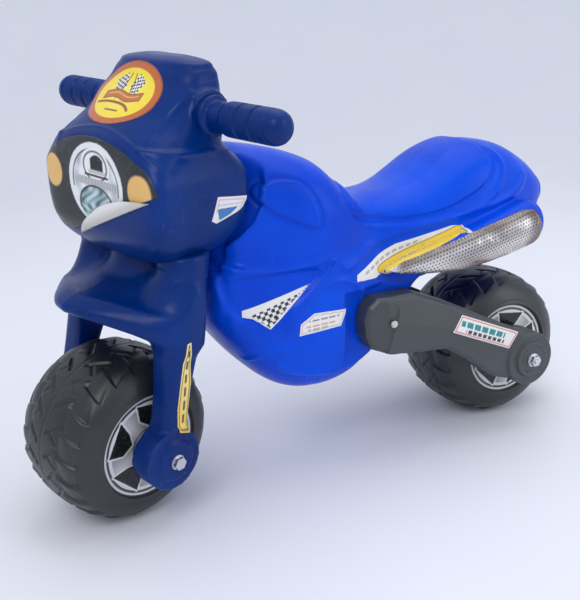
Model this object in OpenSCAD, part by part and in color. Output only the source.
// Child's foot-to-floor ride-on motorcycle in hollow blow-moulded plastic.
// Millimetres. +X forward, +Y the rider's left, +Z up, the floor is z = 0 and
// the front axle of the straightened bike stands over x = 0.
// Soft mouldings are lofts through station lists; turned and fitted pieces are exact.

/* [Wheels] */
// Outside diameter of both blown wheels
wheel_d = 200; // [180:1:220]
// Width of the wheels over the sidewalls
wheel_w = 130; // [110:1:140]
// Distance between the two axles with the bars straight
wheelbase = 526.5; // [500:0.5:560]
// Radius of the recessed round face of a wheel
disc_r = 62; // [50:0.5:68]
// How far the round face lies inside the sidewall
disc_sink = 5; // [2:0.5:10]
// Tread grooves on each side of the centre line
tread_count = 22; // [12:1:30]
// Depth of a tread groove
tread_deep = 2.6; // [1:0.1:4]
// Wall of the hollow wheel
wheel_wall = 3.5; // [3:0.5:8]
// Diameter of the steel axles
axle_d = 8; // [6:0.5:12]

/* [Steering] */
// Lean of the steering axis from upright
rake = 16.3; // [8:0.1:25]
// How far the steering axis passes behind the front axle
axis_behind = 9.4; // [0:0.1:30]
// Turn of the bars to the left in the stored pose
rest_steer = 20.4; // [-21:0.1:21]
// Height of the front axle; the leaned wheel then just meets the floor
front_axle_z = 100.7; // [98:0.05:105]
// Diameter of the steel steering rod
rod_d = 12; // [8:0.5:16]

/* [Mouldings] */
// Wall of the hollow body, head and fork
wall = 3; // [2:0.25:5]
// Points round a soft section of the body
soft = 36; // [16:4:48]
// Thickness of the stuck-on labels
label_t = 0.6; // [0.3:0.1:1]

/* [Bars] */
// Distance of the bar axis behind the front axle
bar_x = -90.6; // [-110:0.1:-70]
// Height of the bar axis
bar_z = 456; // [430:0.1:480]
// Distance from the middle to the tip of each grip
grip_tip = 185; // [160:1:200]
// Radius of the ribbed grip
grip_r = 18; // [15:0.25:22]

/* [Rear arms] */
// Outer face of the round rear end of an arm
arm_out = 114; // [105:0.5:120]
// Inner face of an arm
arm_in = 72; // [68:0.5:90]
// Radius of the round rear end
arm_boss_r = 35.9; // [30:0.1:40]

/* [Hidden] */
$fn = 64;
sides = [1, -1];
navy = [0.05, 0.14, 0.42];
royal = [0.04, 0.22, 0.85];
coal = [0.20, 0.21, 0.22];
slate = [0.29, 0.31, 0.33];
steel = [0.75, 0.76, 0.78];
white = [0.93, 0.93, 0.92];
wr = wheel_d / 2;
hw = wheel_w / 2;
ar = axle_d / 2;
rr = rod_d / 2;
rear_x = -wheelbase;
rear_z = wr;
face_y = hw - disc_sink;       // round face of a wheel

// Soft body, front to back: x, half width, low, high, level of the widest point, softness
spine = [
  [-112, 26, 300, 362, 335, 0.9], [-117, 42, 286, 382, 336, 0.85],
  [-132, 62, 262, 402, 330, 0.8], [-158, 76, 238, 410, 325, 0.78],
  [-182, 83, 228, 407, 320, 0.76], [-208, 87, 222, 401, 316, 0.75],
  [-234, 88, 218, 393, 312, 0.75], [-258, 85, 216, 381, 308, 0.76],
  [-278, 79, 214, 362, 302, 0.78], [-297, 70, 213, 339, 296, 0.8],
  [-318, 64, 212, 331, 292, 0.8], [-344, 66, 212, 330, 290, 0.78],
  [-370, 71, 212, 333, 290, 0.76], [-394, 75, 213, 341, 292, 0.74],
  [-416, 78, 216, 353, 296, 0.74], [-442, 79, 221, 368, 302, 0.74],
  [-470, 79, 227, 378, 308, 0.75], [-500, 77, 232, 381, 311, 0.76],
  [-532, 71, 238, 374, 311, 0.78], [-554, 64, 245, 363, 309, 0.8],
  [-574, 56, 256, 350, 306, 0.82], [-591, 45, 274, 335, 305, 0.85],
  [-601, 33, 290, 324, 306, 0.9], [-605, 15, 300, 314, 307, 0.95]];

// Engine and belly, front to back: the same six values
belly = [
  [-104, 34, 232, 262, 250, 0.9], [-109, 52, 216, 280, 250, 0.85],
  [-124, 70, 190, 290, 248, 0.75], [-142, 78, 165, 300, 245, 0.68],
  [-162, 82, 142, 300, 240, 0.64], [-184, 84, 123, 300, 236, 0.62],
  [-208, 85, 111, 300, 232, 0.6], [-234, 85, 106, 300, 228, 0.6],
  [-262, 84, 107, 300, 226, 0.6], [-288, 81, 114, 295, 224, 0.62],
  [-310, 76, 127, 290, 222, 0.66], [-330, 70, 146, 285, 222, 0.7],
  [-352, 68, 174, 280, 230, 0.75], [-380, 66, 206, 275, 240, 0.8],
  [-398, 56, 220, 270, 244, 0.85]];

// Moulded-in silencer, front to back: x, half height, height of its middle, centre out from the mid-plane
silencer = [
  [-324, 4, 247, 77], [-345, 9.5, 250, 78.5], [-372, 15, 251.5, 80], [-405, 20.5, 254.5, 82],
  [-440, 25, 259.5, 83.5], [-480, 27.5, 267, 84], [-515, 28.5, 275, 84.5],
  [-536, 26, 279.5, 85], [-544, 16, 281, 85], [-546, 5, 281.5, 85]];

// Head fairing, top to bottom: z, front x, back x, half width, softness in front, softness behind
head_rows = [
  [511, -80, -110, 36, 0.9, 0.7], [508, -74, -115, 53, 0.85, 0.58],
  [500, -67, -119, 64, 0.8, 0.47], [487, -58, -121, 70, 0.74, 0.45],
  [472, -44, -121, 74, 0.66, 0.47], [458, -28, -118, 78, 0.8, 0.5],
  [446, -12, -114, 82, 0.78, 0.5], [436, -1, -112, 87, 0.68, 0.5],
  [424, 2, -115, 92, 0.46, 0.48], [412, 3, -126, 96, 0.3, 0.42],
  [400, 3, -136, 99.5, 0.19, 0.38], [386, 3, -140, 101, 0.19, 0.38],
  [370, 3, -141, 100.5, 0.19, 0.38], [354, 3, -139, 98.5, 0.2, 0.38],
  [339, 2, -133, 95, 0.23, 0.4], [324, -4, -123, 88, 0.32, 0.45],
  [312, -14, -112, 78, 0.5, 0.55], [304, -27, -101, 62, 0.76, 0.7],
  [300, -40, -88, 40, 0.9, 0.9]];

function ring_x(s, k = soft) = [for (i = [0 : k - 1])
  let (a = 360 * i / k, c = cos(a), d = sin(a))
  [s[0], s[1] * sign(c) * pow(abs(c), s[5]),
   s[4] + (d > 0 ? s[3] - s[4] : s[4] - s[2]) * sign(d) * pow(abs(d), s[5])]];
function ring_z(s, k = soft) = [for (i = [0 : k - 1])
  let (a = 360 * i / k, c = cos(a), d = sin(a), m = s[2] + 0.48 * (s[1] - s[2]))
  [m + (c > 0 ? s[1] - m : m - s[2]) * sign(c) * pow(abs(c), c > 0 ? s[4] : s[5]),
   s[3] * sign(d) * pow(abs(d), c > 0 ? s[4] : s[5]), s[0]]];
function ring_m(s, side, k) = [for (i = [0 : k - 1])
  let (a = 360 * i / k) [s[0], side * s[3] + s[1] * cos(a), s[2] + s[1] * sin(a)]];

// Skin through rings of k points, each ring seen counter-clockwise from the first end
module loft(rings) {
  k = len(rings[0]);
  n = len(rings);
  polyhedron(
    points = [for (r = rings) each r],
    faces = concat(
      [[for (i = [k - 1 : -1 : 0]) i]],
      [for (r = [0 : n - 2], i = [0 : k - 1])
        let (a = r * k + i, b = r * k + (i + 1) % k) each [[a, b, b + k], [a, b + k, a + k]]],
      [[for (i = [0 : k - 1]) (n - 1) * k + i]]),
    convexity = 6);
}
// A moulding: its lofts are joined as one skin
module moulded() resize([0, 0, 0]) union() children();

function grown(s, g) = [s[0], s[1] + g, s[2] - g, s[3] + g, s[4], s[5]];
function inner(v) = [for (i = [1 : len(v) - 2]) v[i]];

module steer_frame(turn) translate([-axis_behind, 0, 100]) rotate([0, -rake, 0])
  rotate([0, 0, turn]) rotate([0, rake, 0]) translate([axis_behind, 0, -100]) children();
// Everything that turns with the bars is drawn straight and turned here
module turned() steer_frame(rest_steer) children();
// On the steering axis, h up from the level of the axle, z along the axis
module on_axis(h) translate([-axis_behind, 0, 100]) rotate([0, -rake, 0]) translate([0, 0, h]) children();
// Along +Y from y = a to y = b at (x, z)
module across(x, z, a, b, r) translate([x, a, z]) rotate([-90, 0, 0]) cylinder(r = r, h = b - a);
module hexagon(x, z, a, b, af) translate([x, a, z]) rotate([-90, 0, 0])
  cylinder(r = af / sqrt(3), h = b - a, $fn = 6);
module mirrored() { children(); mirror([0, 1, 0]) children(); }

// ---------------------------------------------------------------- body
neck_low = 195;   // along the steering axis, from the level of the axle
neck_high = 245;
module spine_form(g = 0) loft([for (s = g < 0 ? inner(spine) : spine) ring_x(grown(s, g))]);
module belly_form(g = 0) loft([for (s = g < 0 ? inner(belly) : belly) ring_x(grown(s, g))]);
module silencer_form(g = 0) for (side = sides)
  loft([for (s = g < 0 ? inner(silencer) : silencer) ring_m([s[0], s[1] + g, s[2], s[3]], side, 24)]);
module body_form(g = 0) { spine_form(g); belly_form(g); silencer_form(g); }
// Turn either way from straight that the body leaves room for
free_turn = 21.6;
// What the turning head sweeps about the steering axis, beside the neck of the body
module wedge(half, r, h) rotate([0, 0, 180]) linear_extrude(h)
  polygon([[-6, 0], [r * cos(half), r * sin(half)], [r, r * sin(half) * 0.6], [r, -r * sin(half) * 0.6],
    [r * cos(half), -r * sin(half)]]);
neck_half = 35.5;
module swept(g = 0) on_axis(200) difference() {
  rotate_extrude($fn = 60) polygon([[0, -g], [82 + g, -g], [82 + g, 30 - g], [97 + g, 45 - g], [108 + g, 62],
    [112.5 + g, 80], [111.5 + g, 96], [108 + g, 111], [102 + g, 124], [96 + g, 134], [90 + g, 144],
    [86 + g, 154], [86 + g, 240], [0, 240]]);
  translate([g, 0, -g - 1]) wedge(neck_half, 220, 260);
}
// Nose that reaches into the head to the steering axis
module nose() {
  on_axis(neck_low) cylinder(r = 32, h = neck_high - neck_low, $fn = 48);
  on_axis(neck_low) translate([-118, -27, 0]) cube([118, 54, neck_high - neck_low]);
}
module body_shell() color(royal) difference() {
  moulded() difference() {
    union() { difference() { body_form(); swept(); } nose(); }
    // hollow inside, clear of the nose block
    difference() {
      body_form(-wall);
      swept(wall);
      on_axis(neck_low - 20) cylinder(r = 34, h = 100, $fn = 48);
      on_axis(neck_low) translate([-118, -34, 0]) cube([118, 68, neck_high - neck_low]);
      for (s = sides) translate([-355, s > 0 ? arm_in - wall - 0.3 : -120, 117])
        cube([92, 120 - arm_in + wall + 0.3, 116]);
    }
    // blow hole under the tail
    translate([-560, 0, 225]) cylinder(r = 6, h = 40, $fn = 24);
    // seats for the front ends of the arms
    for (s = sides) translate([-352, s > 0 ? arm_in - 0.3 : -120, 120]) cube([86, 120 - arm_in + 0.3, 110]);
  }
  on_axis(neck_low - 1) cylinder(r = 10, h = neck_high - neck_low + 2);
  translate([-625, 0, 298]) rotate([0, 90, 0]) cylinder(r = 2.92, h = 40);
}

// ---------------------------------------------------------------- steering stack
module bush(low) on_axis(low) difference() {
  union() { cylinder(r = 10, h = 16); translate([0, 0, -3]) cylinder(r = 17, h = 3); }
  translate([0, 0, -4]) cylinder(r = rr + 0.05, h = 22);
}
module lower_bush() color(white) turned() bush(neck_low);
module upper_bush() color(white) turned() on_axis(neck_high) mirror([0, 0, 1]) difference() {
  union() { cylinder(r = 10, h = 16); translate([0, 0, -3]) cylinder(r = 17, h = 3); }
  translate([0, 0, -4]) cylinder(r = rr + 0.05, h = 22);
}
rod_low = 158;
rod_high = 268;
module steering_rod() color(steel) turned() on_axis(rod_low) {
  cylinder(r = rr, h = rod_high - rod_low);
  cylinder(r = 19 / sqrt(3), h = 7.5, $fn = 6);
}
module steering_washers() color(steel) turned() {
  for (h = [rod_low + 7.5, neck_high + 3.1]) on_axis(h) difference() {
    cylinder(r = 15, h = 2);
    translate([0, 0, -1]) cylinder(r = rr + 0.05, h = 4);
  }
}
module steering_nut() color(steel) turned() on_axis(neck_high + 5.1) difference() {
  cylinder(r = 19 / sqrt(3), h = 11, $fn = 6);
  translate([0, 0, -1]) cylinder(r = rr + 0.02, h = 13);
}

// ---------------------------------------------------------------- fork
// A leg from under the head down to the axle: x, y, z, half depth, half breadth, softness
leg = [[-55, 68, 316.5, 26, 26, 0.95], [-34, 77, 238, 26, 25, 0.9], [-27, 80.5, 212, 22, 21.5, 0.72],
  [-20, 84, 186, 18, 18, 0.56], [0, 88, front_axle_z, 18, 17, 0.56]];
function ring_leg(s) = [for (i = [0 : leg_points - 1])
  let (a = 360 * i / leg_points, c = cos(a), d = sin(a))
  [s[0] + s[3] * sign(c) * pow(abs(c), s[5]), s[1] + s[4] * sign(d) * pow(abs(d), s[5]), s[2]]];
leg_points = 28;
// Both ends move out with the sides, so a hollow made by a negative g stays closed
module leg_form(g = 0) loft([for (i = [0 : len(leg) - 1])
  let (s = leg[i], out = i == 0 ? g : i == len(leg) - 1 ? -g : 0)
  ring_leg([s[0], s[1], s[2] + out, s[3] + g, s[4] + g, s[5]])]);
// Beak-shaped shelf over the tyre: y, back x, front x, low, high at the front edge
shelf = [[100, -50, -6, 222, 256], [88, -52, 6, 224, 262], [66, -54, 22, 232, 268], [44, -56, 38, 240, 272],
  [22, -57, 50, 246, 275], [0, -58, 55, 248, 276], [-22, -57, 50, 246, 275], [-44, -56, 38, 240, 272],
  [-66, -54, 22, 232, 268], [-88, -52, 6, 224, 262], [-100, -50, -6, 222, 256]];
function ring_y(s, g) = let (b = s[1] - g, f = s[2] + g, l = s[3] - g, h = s[4] + g, t = (h - l) / 2)
  [for (q = [
    [h + 20, b], [h + 20, b + 12], [h + 16, f - 36], [h + 8, f - 22], [h + 1, f - 10], [h - t * 0.35, f - 3],
    [l + t * 1.1, f], [l + t * 0.7, f - 3], [l + 5, f - 12], [l + 2, f - 30], [l, b + 20], [l, b]])
    [q[1], s[0], q[0]]];
module shelf_form(g = 0) loft([for (s = g < 0 ? inner(shelf) : shelf) ring_y(s, g)]);
module fork() color(navy) turned() difference() {
  moulded() difference() {
    union() {
      mirrored() leg_form();
      shelf_form();
      // crown between the legs
      on_axis(161) translate([-16, -80, 0]) cube([44, 160, 32.5]);
      mirrored() across(0, front_axle_z, 76, 106, 35);
      mirrored() across(0, front_axle_z, 105, 109.5, 23);
    }
    difference() {
      union() { mirrored() leg_form(-wall); shelf_form(-wall); }
      mirrored() across(0, front_axle_z, 60, 120, 22);
      on_axis(150) cylinder(r = 24, h = 60);
    }
    // blow holes under the head
    mirrored() translate([-55, 68, 300]) cylinder(r = 5, h = 40, $fn = 24);
    // pockets for the nose and for the head of the rod, and space for the wheel
    on_axis(191.9) cylinder(r = 35, h = 60);
    on_axis(130) translate([-60, -17.3, 0]) cube([77, 34.6, 38]);
    across(0, front_axle_z, -68, 68, wr + 16);
  }
  across(0, front_axle_z, -130, 130, ar + 0.02);
  on_axis(140) cylinder(r = rr + 0.02, h = 80);
}

// ---------------------------------------------------------------- head
function head_grown(s, g) = [s[0], s[1] + g, s[2] - g, s[3] + g, s[4], s[5]];
module head_form(g = 0) loft([for (s = g < 0 ? inner(head_rows) : head_rows) ring_z(head_grown(s, g))]);
module head_fairing() color(navy) turned() difference() {
  moulded() difference() {
    union() {
      head_form();
      across(bar_x, bar_z, -78, 78, 25.5);
    }
    difference() {
      head_form(-wall);
      across(bar_x, bar_z, -90, 90, 21);
    }
    // clearance round the nose, and a mouth at the back for the nose of the body
    on_axis(181) wedge(neck_half + free_turn + 1.6, 170, 160);
    on_axis(181) cylinder(r = 40, h = 80);
    // sockets for the tops of the fork, and room for the collars of the grips
    mirrored() leg_form(0.15);
    mirrored() across(bar_x, bar_z, 77.9, 110, 22.2);
  }
  across(bar_x, bar_z, -90, 90, 12.05);
}

// ---------------------------------------------------------------- bars
module handlebar_tube() color(steel) turned() difference() {
  across(bar_x, bar_z, -150, 150, 11);
  across(bar_x, bar_z, -151, 151, 9.5);
}
// Grip drawn from its inner end to its tip: distance along the bar, radius
module grip() difference() {
  rotate([-90, 0, 0]) rotate_extrude($fn = 96) polygon([
    [0, 78], [21.5, 78], [21.5, 83], [20.5, 85], [17, 85.5], [16, 88], [16, 105], [17, 107],
    [17.8, 109], [grip_r, 112], [grip_r, 127], [grip_r - 1.6, 129], [grip_r, 131], [grip_r, 146],
    [grip_r - 1.6, 148], [grip_r, 150], [grip_r, grip_tip - 18], [grip_r - 0.7, grip_tip - 13],
    [grip_r - 3, grip_tip - 7.5], [grip_r - 6.5, grip_tip - 3.5], [grip_r - 11, grip_tip - 1],
    [0, grip_tip]]);
  across(0, 0, 70, 150.5, 11.05);
}
module left_grip() color(navy) turned() translate([bar_x, 0, bar_z]) grip();
module right_grip() color(navy) turned() translate([bar_x, 0, bar_z]) mirror([0, 1, 0]) grip();

// ---------------------------------------------------------------- wheels, drawn about their own axle
// Half width at each radius of the outside
tread = [[wr - 2.4, 30], [wr - 0.9, 20], [wr - 0.2, 10], [wr, 0]];
side_steps = 9;
function rim_pts() = [for (i = [0 : side_steps]) let (a = 96 - 96 * i / side_steps)
  [56 + (wr - 58.4) * cos(a), 30 + (hw - 30) * sin(a)]];
function half_out() = concat([[12, face_y], [disc_r - 1, face_y], [disc_r, face_y + 1.5]],
  [for (p = rim_pts()) if (p[0] > disc_r + 0.5) p], [for (i = [1 : 3]) tread[i]]);
function reversed(v) = [for (i = [len(v) - 1 : -1 : 0]) v[i]];
// The same for the inside of its wall
function half_in() = concat(
  [[12 + wheel_wall, face_y - wheel_wall], [disc_r + wheel_wall, face_y - wheel_wall]],
  [for (a = [72 : -24 : 0]) [56 + (wr - 59.4 - wheel_wall) * cos(a), 30 + (hw - 31 - wheel_wall) * sin(a)]],
  [[wr - wheel_wall - 3.5, 0]]);
// Both halves of an outline, one mirrored
function whole(v) = concat(v, [for (p = reversed(v)) if (p[1] > 0.01) [p[0], -p[1]]]);
module wheel() difference() {
  rotate([-90, 0, 0]) rotate_extrude($fn = 96) polygon(whole(half_out()));
  rotate([-90, 0, 0]) rotate_extrude($fn = 96) polygon(whole(half_in()));
  // blow hole in the far face
  across(0, -40, -face_y - 1, -30, 4);
  across(0, 0, -70, 70, 12);
  for (i = [0 : tread_count - 1], s = sides)
    rotate([0, 360 * (i + (s > 0 ? 0 : 0.5)) / tread_count, 0])
      translate([0, s * 33, wr]) rotate([0, 0, s * 32]) cube([5, 50, 2 * tread_deep], center = true);
}
module front_wheel() color(coal) turned() translate([0, 0, front_axle_z]) wheel();
module rear_wheel() color(coal) translate([rear_x, 0, rear_z]) wheel();
module hub_bushes() for (m = [0, 1]) mirror([0, m, 0]) difference() {
  union() { across(0, 0, 40, 66.5, 12); across(0, 0, face_y, 66.5, 16); }
  across(0, 0, 39, 68, ar + 0.05);
}
module front_hub_bushes() color(white) turned() translate([0, 0, front_axle_z]) hub_bushes();
module rear_hub_bushes() color(white) translate([rear_x, 0, rear_z]) hub_bushes();
module disc_labels() for (m = [0, 1]) mirror([0, m, 0]) difference() {
  across(0, 0, face_y + 0.05, face_y + 0.05 + label_t, disc_r - 2);
  across(0, 0, face_y - 1, face_y + 3, 16.5);
}
module front_disc_labels() color(white) turned() translate([0, 0, front_axle_z]) disc_labels();
module rear_disc_labels() color(white) translate([rear_x, 0, rear_z]) disc_labels();

// ---------------------------------------------------------------- axles
module washer_y(x, z, a, b, r) difference() {
  across(x, z, a, b, r);
  across(x, z, a - 1, b + 1, ar + 0.02);
}
module front_axle() color(steel) turned() {
  across(0, front_axle_z, -121, 113, ar);
  hexagon(0, front_axle_z, 111, 116.3, 13);
}
module front_washers() color(steel) turned() {
  washer_y(0, front_axle_z, 109.5, 111, 8.5);
  washer_y(0, front_axle_z, -111, -109.5, 8.5);
}
module front_nut() color(steel) turned() difference() {
  hexagon(0, front_axle_z, -118, -111, 13);
  across(0, front_axle_z, -120, -110, ar + 0.02);
}
module rear_axle() color(steel) across(rear_x, rear_z, -123.5, 123.5, ar);
module rear_washers() color(steel) {
  washer_y(rear_x, rear_z, arm_out, arm_out + 1.5, 9);
  washer_y(rear_x, rear_z, -arm_out - 1.5, -arm_out, 9);
}
module rear_nuts() color(steel) for (m = [0, 1]) mirror([0, m, 0]) difference() {
  hexagon(rear_x, rear_z, arm_out + 1.5, arm_out + 7.5, 13);
  across(rear_x, rear_z, arm_out, arm_out + 9, ar + 0.02);
}

// ---------------------------------------------------------------- rear arms
// Side outline of an arm without its round end, as x and z
arm_edge = [[-284, 196], [-289, 212], [-300, 222], [-352, 221], [-408, 196], [-505, 145],
  [-528, 135], [-494, 77], [-470, 86], [-424, 122], [-396, 140], [-315, 150], [-292, 160], [-285, 176]];
arm_lean = 0.3;    // slope of the line that tells its upper edge from its lower one
function arm_top(p) = p[1] > 190 + (278 + p[0]) * arm_lean;
// The outline drawn in by g, from y = a to y = b
module arm_plate(a, b, g) translate([0, a, 0]) rotate([-90, 0, 0]) linear_extrude(b - a)
  polygon([for (p = arm_edge) [p[0] - (p[0] > -300 ? g : 0), -p[1] + (arm_top(p) ? g : -g)]]);
module arm() difference() {
  union() {
    arm_plate(arm_in, 100, 0);
    hull() { arm_plate(99.9, 100, 0); arm_plate(107.9, 108, 6); }
    across(rear_x, rear_z, arm_in, 110, arm_boss_r);
    across(rear_x, rear_z, 109, arm_out, 24);
    across(rear_x, rear_z, 67.5, 74, 15);
  }
  // hollow, with solid posts round the axle and the rivet
  difference() {
    union() {
      arm_plate(arm_in + wall, 102, wall + 1.2);
      across(rear_x, rear_z, arm_in + wall, 106, arm_boss_r - wall);
    }
    across(rear_x, rear_z, 60, 120, 14);
    across(-317, 190, 60, 120, 8);
  }
  across(-400, 165, arm_in - 1, arm_in + wall + 1, 4);
  across(rear_x, rear_z, 60, 120, ar + 0.02);
  across(-317, 190, 90, 120, 2.5);
}
module left_arm() color(slate) arm();
module right_arm() color(slate) mirror([0, 1, 0]) arm();
module arm_rivets() color(white) for (m = [0, 1]) mirror([0, m, 0]) {
  across(-317, 190, 91, 108, 2.45);
  translate([-317, 108, 190]) rotate([-90, 0, 0]) cylinder(r1 = 4.5, r2 = 3, h = 2);
}
module tail_plug() color(coal) translate([-610, 0, 298]) rotate([0, 90, 0]) {
  cylinder(r = 4.5, h = 4);
  translate([0, 0, 3.9]) cylinder(r = 2.9, h = 14);
}

// ---------------------------------------------------------------- labels stuck on the skins
// A label lies on a soft skin inside a prism seen from the side (x, z) or the front (y, z)
module side_prism(pts) translate([0, 150, 0]) rotate([90, 0, 0]) linear_extrude(149) polygon(pts);
module on_body(pts) moulded() intersection() {
  difference() { body_form(label_t); body_form(0.05); }
  mirrored() side_prism(pts);
}
module on_head(pts) moulded() intersection() {
  difference() { head_form(label_t); head_form(0.05); }
  mirrored() side_prism(pts);
}
module chequer_labels() color(white)
  on_body([[-139, 232], [-222, 251], [-168, 207], [-150, 221], [-139, 224]]);
module engine_labels() color(white)
  on_body([[-203, 192], [-205, 206], [-223, 216], [-267, 213], [-258, 194]]);
module stripe_labels() color(white) moulded() intersection() {
  difference() {
    union() { spine_form(label_t); belly_form(label_t); }
    spine_form(0.05);
    belly_form(0.05);
    silencer_form(0.8);
  }
  mirrored() side_prism([[-283, 242], [-284, 250], [-347, 275], [-421, 289], [-438, 287], [-440, 280],
    [-427, 280], [-313, 240]]);
}
module silencer_labels() color(steel) moulded() intersection() {
  difference() {
    silencer_form(label_t);
    silencer_form(0.05);
    spine_form(0.8);
    belly_form(0.8);
  }
  mirrored() side_prism([[-345, 240], [-392, 285], [-512, 312], [-535, 282], [-533, 240], [-400, 215]]);
}
module cheek_labels() color(white) turned() on_head([[-70, 352], [-81, 378], [-118, 373], [-109, 355]]);
module headlamp_label() color(coal) turned() moulded() intersection() {
  difference() { head_form(label_t); head_form(0.05); }
  rotate([90, 0, 90]) translate([0, 0, -38]) linear_extrude(110) polygon([[-98, 390], [-84, 413],
    [-42, 432], [0, 438], [42, 432], [84, 413], [98, 390], [88, 384], [-36, 327], [-64, 330], [-87, 347],
    [-97, 372]]);
}
module emblem_label() color([0.9, 0.75, 0.2]) turned() moulded() intersection() {
  difference() { head_form(label_t); head_form(0.05); }
  translate([-43, 0, 475]) rotate([0, 48, 0]) scale([38, 54, 1])
    cylinder(r = 1, h = 60, center = true, $fn = 48);
}
module fork_labels() color([0.9, 0.78, 0.3]) turned() moulded() mirrored() intersection() {
  difference() { leg_form(label_t); leg_form(0.05); }
  translate([0, 150, 0]) rotate([90, 0, 0]) linear_extrude(70)
    polygon([[-9, 140], [-12, 160], [-27, 228], [-32, 228], [-32, 183], [-22, 140]]);
}
module arm_labels() color(white) for (m = [0, 1]) mirror([0, m, 0])
  translate([0, 108.05 + label_t, 0]) rotate([90, 0, 0]) linear_extrude(label_t)
    polygon([[-406, 164], [-422, 178], [-492, 144], [-483, 128]]);

// Every piece of the toy
body_shell();
lower_bush();
upper_bush();
steering_rod();
steering_washers();
steering_nut();
fork();
head_fairing();
handlebar_tube();
left_grip();
right_grip();
front_wheel();
front_hub_bushes();
front_disc_labels();
front_axle();
front_washers();
front_nut();
rear_wheel();
rear_hub_bushes();
rear_disc_labels();
rear_axle();
rear_washers();
rear_nuts();
left_arm();
right_arm();
arm_rivets();
tail_plug();
headlamp_label();
emblem_label();
cheek_labels();
fork_labels();
chequer_labels();
engine_labels();
stripe_labels();
silencer_labels();
arm_labels();
